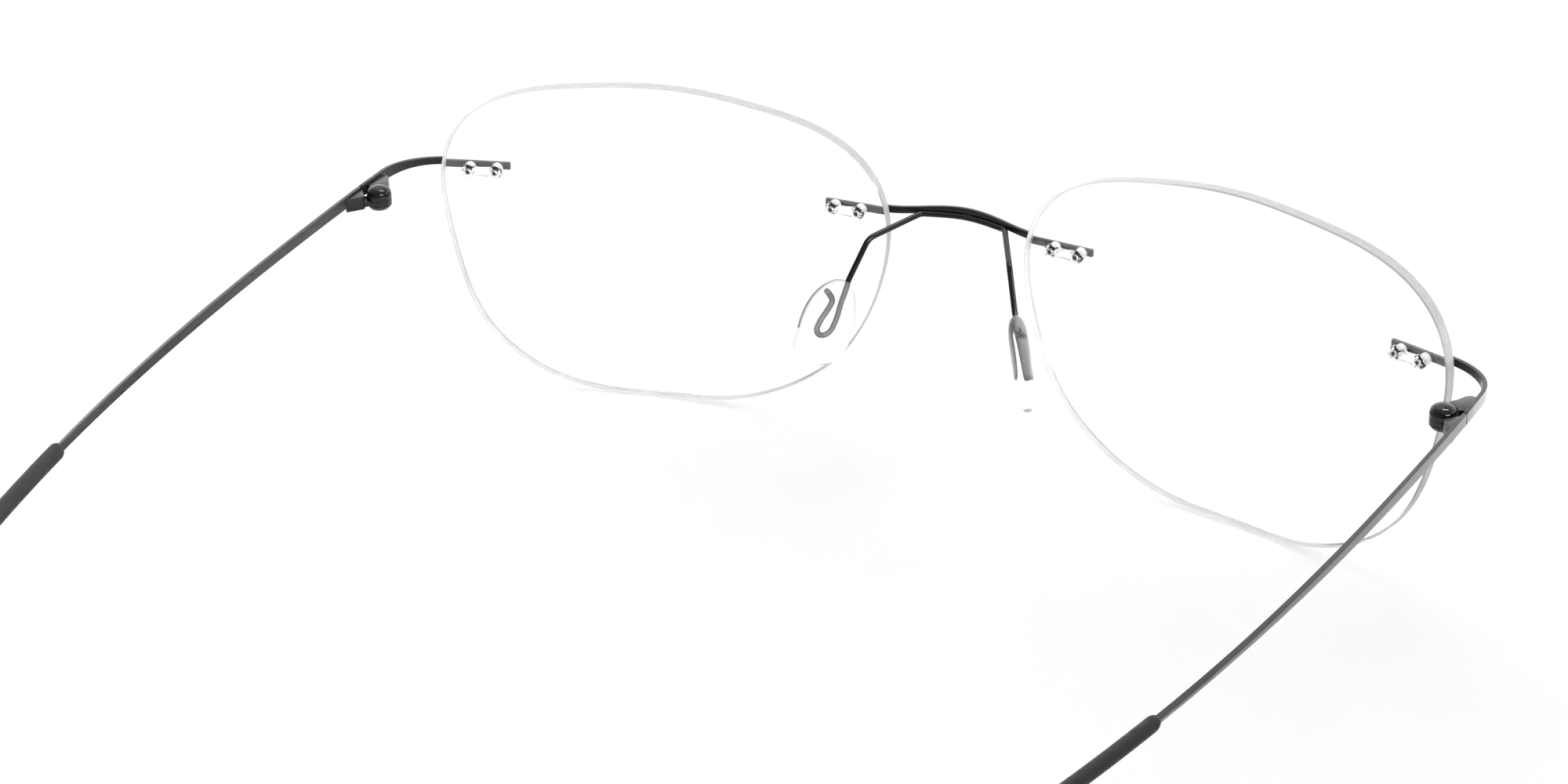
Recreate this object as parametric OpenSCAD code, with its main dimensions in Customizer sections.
// Rimless eyeglasses with folding temples.
// Millimetres. +Z is up, the front of the glasses faces -Y and the temples run
// back along +Y. +X is the wearer's left. The glasses stand open on the
// bottoms of the lenses and the ends of the temples, on the plane z = 0, and
// the origin is the middle of their footprint.

/* [Lenses] */
// Mean radius of the lens outline
lens_mean_r = 22.9; // [21:0.1:25]
// Wide-oval term: how much wider than tall the outline is
lens_oval = 3.79; // [2.5:0.01:5]
// Slant term: lifts one end of the oval
lens_slant = -0.18; // [-1:0.01:1]
// Egg term: moves fullness between nose side and temple side
lens_egg = -0.3; // [-1:0.01:1]
// Drop term: flattens the top edge and rounds the bottom edge
lens_drop = 0.85; // [0:0.01:1.5]
// Squareness term
lens_square = -0.34; // [-1:0.01:0.5]
// Shoulder term, nose side to temple side
lens_shoulder_x = -0.15; // [-0.5:0.01:0.5]
// Shoulder term, top to bottom
lens_shoulder_z = 0.5; // [0:0.01:0.8]
// Flat-flank term
lens_flank = -0.31; // [-0.6:0.01:0.3]
// Corner term
lens_corner = -0.11; // [-0.3:0.01:0.3]
// Radius of the front surface (base curve)
lens_curve_r = 163; // [110:1:260]
// Lens thickness
lens_t = 1.6; // [1.4:0.1:2.4]
// Distance of the lens centre from the middle of the face
lens_x = 35.3; // [34:0.1:37]
// Wrap angle of each lens round the face
lens_wrap = 11.6; // [6:0.1:13]
// Forward lean of the lenses
lens_lean = 2.6; // [1:0.1:6]

/* [Rimless mounting] */
// Distance from the lens centre to the inner pin, temple side
pin_u_temple = 19.8; // [19:0.1:20.5]
// Distance from the lens centre to the inner pin, nose side
pin_u_nose = 20.45; // [19.5:0.05:21]
// Height of the pins above the lens centre
pin_v = 6.72; // [5:0.05:8]
// Spacing of the two pins in each pair
pin_gap = 3.1; // [2.6:0.1:3.3]
// Pin radius
pin_r = 0.38; // [0.3:0.01:0.42]
// Radius of the holes in the lens
lens_hole_r = 0.66; // [0.6:0.02:0.8]
// Radius of the bush collars behind the lens
collar_r = 0.78; // [0.76:0.02:1.1]
// Length of the bush collars behind the lens
collar_l = 0.6; // [0.45:0.05:1.2]

/* [Bridge and nose pads] */
// Height of the bridge band
bridge_h = 0.72; // [0.6:0.02:1.2]
// Thickness of the bridge band
bridge_t = 0.62; // [0.5:0.02:1]
// How far the bridge bows forward between the lenses
bridge_bow = 1.5; // [0.5:0.1:3]
// How far the bridge arches up between the lenses
bridge_rise = 0.85; // [0.3:0.05:3]
// Diameter of the pad wire
wire_d = 0.66; // [0.6:0.02:1]
// Length of a nose pad
pad_l = 10.7; // [10:0.1:14]
// Width of a nose pad
pad_w = 7.9; // [6:0.1:8.4]
// Thickness of a nose pad
pad_t = 2.2; // [2:0.1:3]

/* [Hinges] */
// Distance of each hinge axis from the middle of the face
hinge_x = 62.6; // [61:0.1:64]
// Distance of the hinge axes behind the lens centres
hinge_y = 17.54; // [16:0.02:20]
// Radius of the hinge barrel
barrel_r = 1.4; // [1.2:0.05:1.6]
// Height of the hinge barrel
barrel_h = 1.75; // [1.6:0.05:2.2]
// Radius of the hinge screw's shank
screw_r = 0.48; // [0.4:0.02:0.6]
// Radius of the hinge screw's domed head
screw_head_r = 1.36; // [1.1:0.02:1.45]
// Height of the screw head's dome
screw_head_h = 0.86; // [0.3:0.02:1.1]

/* [Temples] */
// Height of the temple band at the hinge
temple_h = 1.34; // [1:0.02:1.4]
// Thickness of the temple band at the hinge
temple_t = 0.44; // [0.4:0.02:0.6]
// Height of the temple band under the sleeve
temple_h2 = 0.8; // [0.7:0.01:1.2]
// Thickness of the temple band under the sleeve
temple_t2 = 0.6; // [0.35:0.01:0.65]
// Lean of the temple band under the sleeve, top outwards
temple_twist = 22; // [0:1:25]
// How far the temple band climbs on its way back
temple_rise = 0.06; // [0:0.02:1]
// Length from the hinge to the start of the ear bend
bend_at = 92; // [86:1:96]
// Radius of the ear bend
bend_r = 28; // [20:1:36]
// Angle of the ear bend
bend_a = 45; // [38:1:52]
// Length from the hinge to the front of the sleeve
sleeve_at = 64.8; // [55:0.1:75]
// Height of the oval sleeve
sleeve_h = 1.78; // [1.6:0.02:2.8]
// Thickness of the oval sleeve
sleeve_t = 1.45; // [1.2:0.05:1.8]
// Radius of the round end of the sleeve
end_r = 1; // [0.9:0.05:1.4]
// Length of the round end of the sleeve
end_l = 10; // [8:0.5:14]

/* [Hidden] */
$fn = 48;
gap = 0.03;   // clearance between parts that only touch
slip = 0.04;  // clearance round parts that sit in a hole or slot
cut = 1;      // overshoot of cutting tools
up_z = [0, 0, 1];

// ---- small vector helpers -------------------------------------------------
function unit(v) = v / norm(v);
function mix(a, b, t) = a * (1 - t) + b * t;
function clamp(x) = min(1, max(0, x));
function ease(x) = let (c = clamp(x)) c * c * (3 - 2 * c);
function bezier(a, b, c, d, t) = a * pow(1 - t, 3) + b * 3 * t * pow(1 - t, 2)
    + c * 3 * t * t * (1 - t) + d * pow(t, 3);
// corner b of the path a-b-c, rounded from a distance reach before it to reach after it
function round_corner(a, b, c, reach, steps) =
    let (start = b + unit(a - b) * reach, end = b + unit(c - b) * reach)
    [for (i = [0:steps]) let (t = i / steps)
        start * pow(1 - t, 2) + b * 2 * t * (1 - t) + end * t * t];
// mirror a point, or a path with its order reversed, in the plane x = 0
function flip_x(p) = [-p[0], p[1], p[2]];
function flip_path(path) = [for (i = [len(path) - 1:-1:0]) flip_x(path[i])];

// ---- sweeping a ring of points along a path -------------------------------
function signed_pow(x, e) = sign(x) * pow(abs(x), e);
function tangent(path, i) = unit(path[min(i + 1, len(path) - 1)] - path[max(i - 1, 0)]);
// entry i of a list, or the value itself if it holds for the whole path
function item(v, i) = is_list(v) ? v[i] : v;
// corner: 1 gives an ellipse, small values a rounded rectangle
function ring(p, along, up, half_t, half_h, corner, lean, sides) =
    let (side0 = unit(cross(along, up)), up0 = cross(side0, along),
         side1 = side0 * cos(lean) - up0 * sin(lean),
         up1 = side0 * sin(lean) + up0 * cos(lean))
    [for (k = [0:sides - 1]) let (q = 360 * (k + 0.5) / sides)
        p + side1 * half_t * signed_pow(cos(q), corner)
          + up1 * half_h * signed_pow(sin(q), corner)];
// ups is a list; half_t, half_h and lean are lists or single values
function rings(path, ups, half_t, half_h, corner, lean = 0, sides = 16) =
    [for (i = [0:len(path) - 1]) ring(path[i], tangent(path, i), ups[i],
        item(half_t, i), item(half_h, i), corner, item(lean, i), sides)];
// faces between consecutive rings, the first ring starting at point first
function walls(count, sides, first, outward) = [for (i = [0:count - 2]) for (k = [0:sides - 1])
    let (a = first + i * sides + k, b = first + i * sides + (k + 1) % sides,
         c = a + sides, d = b + sides)
    each (outward ? [[a, b, d], [a, d, c]] : [[a, d, b], [a, c, d]])];
function cap(sides, first, reversed) =
    [for (k = [0:sides - 1]) first + (reversed ? sides - 1 - k : k)];
module sweep(outer) {
    sides = len(outer[0]);
    count = len(outer);
    polyhedron(points = [for (r = outer) each r], convexity = 8,
        faces = concat(walls(count, sides, 0, true),
            [cap(sides, 0, true)], [cap(sides, (count - 1) * sides, false)]));
}
// a sweep with a blind slot of rings running in from its first end
module hollow_sweep(outer, slot) {
    sides = len(outer[0]);
    last = (len(outer) - 1) * sides;
    slot_first = len(outer) * sides;
    slot_last = slot_first + (len(slot) - 1) * sides;
    polyhedron(points = [for (r = concat(outer, slot)) each r], convexity = 8,
        faces = concat(walls(len(outer), sides, 0, true), [cap(sides, last, false)],
            walls(len(slot), sides, slot_first, false), [cap(sides, slot_last, true)],
            [for (k = [0:sides - 1]) let (j = (k + 1) % sides)
                each [[k, slot_first + k, slot_first + j], [k, slot_first + j, j]]]));
}

// ---- lens surface ---------------------------------------------------------
// In a lens's own frame u runs towards the temple and v runs up.
function lens_r(a) = lens_mean_r + lens_oval * cos(2 * a) + lens_slant * sin(2 * a)
    + lens_egg * cos(3 * a) + lens_drop * sin(3 * a) + lens_square * cos(4 * a)
    + lens_shoulder_x * cos(5 * a) + lens_shoulder_z * sin(5 * a)
    + lens_flank * cos(6 * a) + lens_corner * cos(8 * a);
function outline_pt(a) = lens_r(a) * [cos(a), sin(a)];
// depth of the front surface behind the lens's foremost point
function sag(u, v) = lens_curve_r - sqrt(lens_curve_r * lens_curve_r - u * u - v * v);
// outward normal of the front surface
function face_normal(u, v) = unit([u, sag(u, v) - lens_curve_r, v]);
function tilt(p) = [p[0], p[1] * cos(lens_lean) - p[2] * sin(lens_lean),
                    p[1] * sin(lens_lean) + p[2] * cos(lens_lean)];
function wrap(p) = [p[0] * cos(lens_wrap) - p[1] * sin(lens_wrap),
                    p[0] * sin(lens_wrap) + p[1] * cos(lens_wrap), p[2]];
// a point standing h in front of the front surface, in the frame of the whole front
function on_face(u, v, h) =
    tilt(wrap([u, sag(u, v), v] + face_normal(u, v) * h) + [lens_x, 0, 0]);

// ---- standing height and footprint ----------------------------------------
band_y = hinge_y + 0.26;   // where the temple band's curve starts
band_z = 7.05;             // middle of the temple band above the lens centres
bridge_y = -3.5;           // middle of the bridge before it bows forward
floor_z = -min([for (a = [240:2:300]) let (p = outline_pt(a)) on_face(p[0], p[1], 0)[2]]);
ear_drop = band_z + temple_rise + floor_z - end_r;   // temple band down to the tip's centre
bend_drop = bend_r * (1 - cos(bend_a));
bend_len = bend_r * bend_a * PI / 180;
tail_len = (ear_drop - bend_drop) / sin(bend_a);
tip_s = bend_at + bend_len + tail_len;               // arc length to the tip's centre
tip_y = bend_at + bend_r * sin(bend_a) + tail_len * cos(bend_a);
y_front = bridge_y - bridge_bow - bridge_t / 2;
y_back = band_y + tip_y + end_r;
module placed() translate([0, -(y_front + y_back) / 2, floor_z]) children();
// side: 1 is the wearer's left, -1 the right
module left_right(side) { if (side > 0) children(); else mirror([1, 0, 0]) children(); }

// ---- lenses ---------------------------------------------------------------
temple_pins = [pin_u_temple, pin_u_temple + pin_gap];
nose_pins = [-pin_u_nose, -pin_u_nose - pin_gap];
blank_back = 12;   // how far the outline's prism reaches behind the lens's foremost point
blank_l = 16;      // length of that prism
module lens_placed() rotate([lens_lean, 0, 0]) translate([lens_x, 0, 0])
    rotate([0, 0, lens_wrap]) children();
// local frame standing on the front face at (u, v), +Z pointing to the wearer
module through(u, v) lens_placed() translate([u, sag(u, v), v])
    rotate([-90 + asin(-v / lens_curve_r), 0, asin(u / lens_curve_r)]) children();
module lens(side) placed() left_right(side) color([0.93, 0.95, 0.97, 0.35]) difference() {
    lens_placed() intersection() {
        rotate([90, 0, 0]) translate([0, 0, -blank_back]) linear_extrude(blank_l)
            polygon([for (a = [0:3:357]) outline_pt(a)]);
        difference() {
            translate([0, lens_curve_r, 0]) sphere(r = lens_curve_r, $fn = 240);
            translate([0, lens_curve_r, 0]) sphere(r = lens_curve_r - lens_t, $fn = 240);
        }
    }
    for (u = concat(temple_pins, nose_pins)) through(u, pin_v)
        translate([0, 0, -cut]) cylinder(r = lens_hole_r, h = lens_t + 2 * cut);
}

// ---- bushes and pins ------------------------------------------------------
web_h = 1.24;        // height of the web between the two collars
web_inset = 0.05;    // web short of the collars at front and back
pin_root = 0.1;      // length of pin sunk in its strip
pin_point_l = 0.12;
pin_point_r = 0.2;
temple_pair_u = pin_u_temple + pin_gap / 2;
nose_pair_u = -pin_u_nose - pin_gap / 2;
// clear double bush: two barrels through the lens, two collars behind it and
// the web that joins them; pair_u is the middle of the pair
module bush(side, pair_u) placed() left_right(side) color([0.92, 0.93, 0.95, 0.5])
    difference() {
        union() {
            for (s = [-1, 1]) through(pair_u + s * pin_gap / 2, pin_v) {
                translate([0, 0, gap]) cylinder(r = lens_hole_r - slip, h = lens_t);
                translate([0, 0, lens_t + gap]) cylinder(r = collar_r, h = collar_l);
            }
            through(pair_u, pin_v) translate([-pin_gap / 2, -web_h / 2, lens_t + web_inset])
                cube([pin_gap, web_h, collar_l - 2 * web_inset]);
        }
        for (s = [-1, 1]) through(pair_u + s * pin_gap / 2, pin_v)
            translate([0, 0, -cut]) cylinder(r = pin_r + slip, h = lens_t + collar_l + 2 * cut);
    }
// one pin: starts in the strip and ends in a blunt point just behind its bush
module pin(u) through(u, pin_v) {
    translate([0, 0, -gap - pin_root])
        cylinder(r = pin_r, h = lens_t + collar_l + gap + pin_root);
    translate([0, 0, lens_t + collar_l])
        cylinder(r1 = pin_r, r2 = pin_point_r, h = pin_point_l);
}

// ---- strips in front of the lenses ----------------------------------------
strip_t = 0.5;
strip_h = 0.84;
strip_v = pin_v + 0.1;           // middle of the nose-side strips, a little above the pins
side_strip_v = strip_v + 0.12;   // middle of the temple-side strips
edge_u = 25.4;                   // the strips follow the lens out to here
strip_up = tilt(wrap(unit([0, strip_v / lens_curve_r, 1])));
function strip_pt(u, v) = on_face(u, v, gap + strip_t / 2);

// ---- bridge ---------------------------------------------------------------
nose_strip_u = pin_u_nose - 1.25;   // outboard end of the nose-side strip
bridge_blend_x = 11;                // from here inwards the strip changes into the band
bridge_turn_l = 6;                  // x distance in which its up direction turns upright
nose_end = strip_pt(-edge_u, strip_v);
function arch(x) = let (c = (1 + cos(180 * x / nose_end[0])) / 2)
    [x, mix(nose_end[1], bridge_y - bridge_bow, c), nose_end[2] + bridge_rise * c];
bridge_half = concat([for (u = [nose_strip_u:0.62:edge_u]) strip_pt(-u, strip_v)],
    [for (i = [1:14]) arch(nose_end[0] * (1 - i / 14))]);
bridge_path = concat(bridge_half,
    flip_path([for (i = [0:len(bridge_half) - 2]) bridge_half[i]]));
module bridge() placed() color([0.09, 0.085, 0.09]) {
    blend = [for (p = bridge_path) ease(1 - abs(p[0]) / bridge_blend_x)];
    ups = [for (p = bridge_path) mix(p[0] > 0 ? strip_up : flip_x(strip_up), up_z,
        ease((bridge_blend_x - abs(p[0])) / bridge_turn_l))];
    sweep(rings(bridge_path, ups, [for (k = blend) mix(strip_t, bridge_t, k) / 2],
        [for (k = blend) mix(strip_h, bridge_h, k) / 2], 0.28));
}
module bridge_pins() placed() color([0.62, 0.62, 0.64]) for (side = [-1, 1])
    left_right(side) for (u = nose_pins) pin(u);

// ---- nose pads and their wire ---------------------------------------------
pad_down = unit([3.68, 3.04, -10.15]);                       // down the length of a pad
pad_normal = unit(cross(pad_down, [0.358, 0.823, 0.438]));   // from the pad to its lens
pad_across = cross(pad_normal, pad_down);                    // towards its rear edge
pad_in = [10.04, 4.36, 1.24];                                // where the wire enters the pad
function pad_pt(down, across) = pad_in + pad_down * down + pad_across * across;
knee = [8.5, 2.45, 5.72];   // bend of the wire between the bridge and the pad
leave_x = 5.1;              // where the wire leaves the bridge
brazed_x = 4.3;             // end of the evenly spaced run under the bridge
// a point of the wire's run under the bridge
function under(x) = [x, arch(x)[1] + bridge_t / 2 + 0.08 + 0.08 * x / leave_x,
                     arch(x)[2] - bridge_h / 2 - 0.25 + 0.28 * pow(x / leave_x, 2)];
leave = under(leave_x);
loop_r = 1.1;
// the wire inside the pad: [down, across] from where it enters
wire_in_pad = concat([[1.8, -0.12], [2.9, -0.2], [3.9, -0.4], [4.9, -0.57]],
    [for (q = [0:20:180]) [6 + loop_r * sin(q), 0.5 - loop_r * cos(q)]],
    [[5.2, 1.56], [4.3, 1.36], [3.4, 1.16]]);
wire_end = pad_pt(1.7, 2.5);
wire_half = concat(
    [for (x = [0:0.85:brazed_x]) under(x)],
    round_corner(under(brazed_x), leave, knee, 0.4, 4),
    round_corner(leave, knee, pad_in, 0.8, 6),
    round_corner(knee, pad_in, pad_pt(2.8, -0.18), 0.6, 4),
    [for (p = wire_in_pad) pad_pt(p[0], p[1])],
    round_corner(pad_pt(3.4, 1.16), pad_pt(2.5, 1.1), wire_end, 0.6, 4),
    [wire_end]);
wire_path = concat(flip_path(wire_half), [for (i = [1:len(wire_half) - 1]) wire_half[i]]);
// up direction that never lines up with the wire
function wire_up(i) = let (side = wire_path[i][0] < 0 ? -1 : 1)
    unit([side * 0.55, 0.8, 0.1] + [0, 0, 0.9] * abs(tangent(wire_path, i)[0]));
module nose_pad_wire() placed() color([0.1, 0.095, 0.1])
    sweep(rings(wire_path, [for (i = [0:len(wire_path) - 1]) wire_up(i)],
        wire_d / 2, wire_d / 2, 1, sides = 12));

// pad section at a distance down from its top: half width, middle and half thickness
pad_widest = pad_l * 0.55;
function pad_half_w(down) = pad_w / 2 * sqrt(max(0, 1 - (down < pad_widest
    ? pow((pad_widest - down) / pad_widest, 1.75)
    : pow((down - pad_widest) / (pad_l - pad_widest), 3.5))));
function pad_mid(down) = 0.24 + 0.76 * ease((8 - down) / 6) + pow(clamp((down - 8.6) / 2.1), 4);
function pad_half_t(down) = pad_t / 2 * sqrt(1 - pow(abs(2 * down / pad_l - 1), 5));
pad_stations = [for (i = [1:21]) pad_l * (1 - cos(180 * i / 22)) / 2];
pad_top = 0.15;       // shift of the pad down from the wire's entry
pad_slope = 0.048;    // drift away from the lens per millimetre down
pad_corner = 0.7;
module nose_pad(side) placed() left_right(side) color([0.88, 0.87, 0.9, 0.6])
    sweep([for (s = pad_stations) [for (k = [0:27]) let (q = 360 * (k + 0.5) / 28)
        pad_pt(s + pad_top, pad_mid(s)) - pad_normal * pad_slope * s
            + pad_normal * pad_half_t(s) * signed_pow(cos(q), pad_corner)
            + pad_across * pad_half_w(s) * signed_pow(sin(q), pad_corner)]]);

// ---- end pieces -----------------------------------------------------------
band_off = 2.3;                       // temple band outboard of the hinge axis
band_x = hinge_x + band_off;
side_strip_u = pin_u_temple - 1.45;   // inboard end of the temple-side strip
turn_reach = 3.4;                     // reach of the turn's control points
turn_start = strip_pt(edge_u, side_strip_v);
turn_dir = unit(turn_start - strip_pt(edge_u - 0.3, side_strip_v));
turn_end = [band_x + 0.1, band_y - 4.6, band_z];
endpiece_path = concat(
    [for (u = [side_strip_u:0.7:edge_u - 0.2]) strip_pt(u, side_strip_v)],
    [for (i = [0:16]) bezier(turn_start, turn_start + turn_dir * turn_reach,
        turn_end + [0.1, -turn_reach, 0], turn_end, i / 16)],
    [[band_x + 0.06, band_y - 2.4, band_z], [band_x, band_y - 0.06, band_z]]);
module endpiece(side) placed() left_right(side) color([0.12, 0.115, 0.12]) {
    // strip section up to y = 7, temple band section from y = 13
    blend = [for (p = endpiece_path) ease((p[1] - 7) / 6)];
    sweep(rings(endpiece_path, [for (k = blend) mix(strip_up, up_z, k)],
        [for (k = blend) mix(strip_t, temple_t, k) / 2],
        [for (k = blend) mix(strip_h, temple_h, k) / 2], 0.25));
}
module endpiece_pins(side) placed() left_right(side) color([0.62, 0.62, 0.64])
    for (u = temple_pins) pin(u);

// ---- hinges ---------------------------------------------------------------
// Heights are above the lens centres; outlines are [x, y] from the hinge axis.
knuckle_h = (barrel_h - 2 * gap) / 3;
hinge_top = 7.2;
hinge_bot = hinge_top - barrel_h;
knuckle_bot = hinge_bot + knuckle_h + gap;   // bottom of the middle knuckle
block_top = 7.42;                            // gusset and temple block
block_bot = 5.87;
band_in = band_off - temple_t / 2;           // inboard face of the band
bury = 0.02;                                 // overlap of the temple half into the band
taper_h = 0.42;                              // tapered foot of the barrel
taper_in = 0.3;
gusset_outline = [[0, -0.1], [-0.3, -barrel_r + 0.1], [0.08, -2.2], [0.5, -2.68],
    [1.05, -3.75], [1.45, -4.05], [band_in + 0.08, -4.02], [band_in + bury, -0.88], [1.3, -0.5]];
knuckle_arm = [[0, 0.2], [barrel_r, 0.2], [band_in + bury, 0.6], [0.9, 2.1],
    [0.25, barrel_r - 0.1]];
block_outline = [[band_in + bury, 0.42], [1.92, 0.5], [0.76, 1.82], [0.74, 2.1],
    [1.96, 3.56], [band_in + bury, 3.66]];
module at_hinge(z) translate([hinge_x, hinge_y, z]) children();
module block(outline) at_hinge(block_bot)
    linear_extrude(block_top - block_bot) polygon(outline);
module screw_hole() at_hinge(hinge_bot - cut)
    cylinder(r = screw_r + slip, h = barrel_h + 2 * cut);
// two-knuckle half, brazed to the end piece; the gusset runs forward and its
// top has a round seat for the screw head
module endpiece_hinge(side) placed() left_right(side) color([0.17, 0.165, 0.17])
    difference() {
        union() {
            at_hinge(hinge_bot + taper_h) cylinder(r = barrel_r, h = barrel_h - taper_h);
            at_hinge(hinge_bot) cylinder(r1 = barrel_r - taper_in, r2 = barrel_r, h = taper_h);
            block(gusset_outline);
        }
        at_hinge(hinge_top) cylinder(r = screw_head_r + 0.1, h = cut);
        at_hinge(knuckle_bot - gap) cylinder(r = barrel_r + 0.06, h = knuckle_h + 2 * gap);
        screw_hole();
    }
// one-knuckle half, brazed to the temple; its block runs back along the band
module temple_hinge(side) placed() left_right(side) color([0.15, 0.145, 0.15])
    difference() {
        union() {
            at_hinge(knuckle_bot) {
                cylinder(r = barrel_r, h = knuckle_h);
                linear_extrude(knuckle_h) polygon(knuckle_arm);
            }
            block(block_outline);
        }
        screw_hole();
    }
// smooth domed screw down the hinge axis, with a driver slot in its lower end
screw_below = 0.08;     // shank below the barrel
screw_above = 0.07;     // shank above the barrel, inside the head
head_lift = 0.02;       // underside of the head above the barrel
head_rim_h = 0.08;      // rim below the dome
head_chamfer = 0.04;
driver_slot_w = 0.18;
driver_slot_l = 4;
driver_slot_top = 0.16; // end of the slot above the bottom of the barrel
driver_slot_a = 27;
module hinge_screw(side) placed() left_right(side) color([0.05, 0.05, 0.055]) difference() {
    union() {
        at_hinge(hinge_bot - screw_below)
            cylinder(r = screw_r, h = barrel_h + screw_below + screw_above);
        at_hinge(hinge_top + head_lift) rotate_extrude()
            polygon(concat([[0, 0], [screw_head_r - head_chamfer, 0]],
                [for (q = [0:10:90]) [screw_head_r * cos(q),
                    head_rim_h + (screw_head_h - head_rim_h) * sin(q)]]));
    }
    at_hinge(hinge_bot - cut) rotate([0, 0, driver_slot_a])
        translate([-driver_slot_l / 2, -driver_slot_w / 2, 0])
            cube([driver_slot_l, driver_slot_w, cut + driver_slot_top]);
}

// ---- temples --------------------------------------------------------------
// Here y is the distance behind band_y and s the arc length from there.
bow_end = 86;   // the temple stops curving inwards here and runs on straight
climb_l = 62;   // the climb is complete here
// inward bow at y: a cubic, then a straight slope
function bow(y) = let (c = min(y, bow_end)) 0.0397 * c + 0.000469 * c * c
    + 0.00000641 * c * c * c + 0.262 * max(0, y - bow_end);
function climb(y) = temple_rise * sin(90 * clamp(y / climb_l));
// side view of the temple as [y, z]: straight, ear bend, straight tail
function side_view(s) = s < bend_at ? [s, 0]
    : s < bend_at + bend_len ? let (a = (s - bend_at) / bend_r * 180 / PI)
        [bend_at + bend_r * sin(a), -bend_r * (1 - cos(a))]
    : let (tail = s - bend_at - bend_len)
        [bend_at + bend_r * sin(bend_a) + tail * cos(bend_a), -bend_drop - tail * sin(bend_a)];
function temple_pt(s) = let (q = side_view(s))
    [band_x - bow(q[0]), band_y + q[0], band_z + climb(q[0]) + q[1]];
function temple_up(s) = s < bend_at ? up_z
    : let (a = min(bend_a, (s - bend_at) / bend_r * 180 / PI)) [0, sin(a), cos(a)];
function temple_lean(s) = temple_twist * ease((s - 14) / 50);
// rings at the given arc lengths
function temple_rings(stations, half_t, half_h, corner, lean) =
    rings([for (s = stations) temple_pt(s)], [for (s = stations) temple_up(s)],
        half_t, half_h, corner, lean);
core_end = tip_s - end_l - 2;   // rear end of the band inside the sleeve
// one list of arc lengths serves the band and its slot in the sleeve
slot_s = concat([sleeve_at], [for (s = [sleeve_at + 4:4:core_end - 1]) s], [core_end]);
band_s = concat([0.12, 2, 4], [for (s = [8:6:sleeve_at - 3]) s], slot_s);
module temple(side) placed() left_right(side) color([0.27, 0.26, 0.28])
    sweep(temple_rings(band_s,
        [for (s = band_s) mix(temple_t, temple_t2, clamp(s / sleeve_at)) / 2],
        [for (s = band_s) mix(temple_h, temple_h2, clamp(s / sleeve_at)) / 2],
        0.25, [for (s = band_s) temple_lean(s)]));

// half size of the sleeve: rounded front edge, oval, then round behind the bend
mouth_l = 0.7;   // length of the rounded front edge
function sleeve_half(s, oval) =
    mix(oval / 2, end_r - 0.03, ease((s - bend_at) / (bend_len + 4)))
    * sqrt(1 - pow(1 - clamp((s - sleeve_at) / mouth_l), 2) * 0.36);
sleeve_s = concat([for (d = [0, 0.08, 0.2, 0.4, mouth_l]) sleeve_at + d],
    [for (s = slot_s) if (s > sleeve_at + 2) s], [tip_s - end_l - 1, tip_s - end_l + 0.5]);
module temple_tip(side) placed() left_right(side) color([0.25, 0.245, 0.25]) {
    hollow_sweep(
        temple_rings(sleeve_s, [for (s = sleeve_s) sleeve_half(s, sleeve_t)],
            [for (s = sleeve_s) sleeve_half(s, sleeve_h)], 1,
            [for (s = sleeve_s) temple_lean(s)]),
        temple_rings(concat(slot_s, [core_end + 0.6]), temple_t2 / 2 + slip,
            temple_h2 / 2 + slip, 0.25, temple_twist));
    // round end: a straight rod with a ball nose
    start = temple_pt(tip_s - end_l);
    rod = temple_pt(tip_s) - start;
    dir = unit(rod);
    translate(start) rotate([0, acos(dir[2]), atan2(dir[1], dir[0])]) rotate_extrude()
        polygon(concat([[0, 0], [end_r, 0]],
            [for (q = [0:15:90]) [end_r * cos(q), norm(rod) + end_r * sin(q)]]));
}

lens(1);  // lens_left
lens(-1);  // lens_right
bridge();
bridge_pins();
nose_pad_wire();
nose_pad(1);  // nose_pad_left
nose_pad(-1);  // nose_pad_right
bush(1, nose_pair_u);  // bush_nasal_left
bush(-1, nose_pair_u);  // bush_nasal_right
bush(1, temple_pair_u);  // bush_temporal_left
bush(-1, temple_pair_u);  // bush_temporal_right
endpiece(1);  // endpiece_left
endpiece(-1);  // endpiece_right
endpiece_pins(1);  // endpiece_pins_left
endpiece_pins(-1);  // endpiece_pins_right
endpiece_hinge(1);  // endpiece_hinge_left
endpiece_hinge(-1);  // endpiece_hinge_right
hinge_screw(1);  // hinge_screw_left
hinge_screw(-1);  // hinge_screw_right
temple_hinge(1);  // temple_hinge_left
temple_hinge(-1);  // temple_hinge_right
temple(1);  // temple_left
temple(-1);  // temple_right
temple_tip(1);  // temple_tip_left
temple_tip(-1);  // temple_tip_right
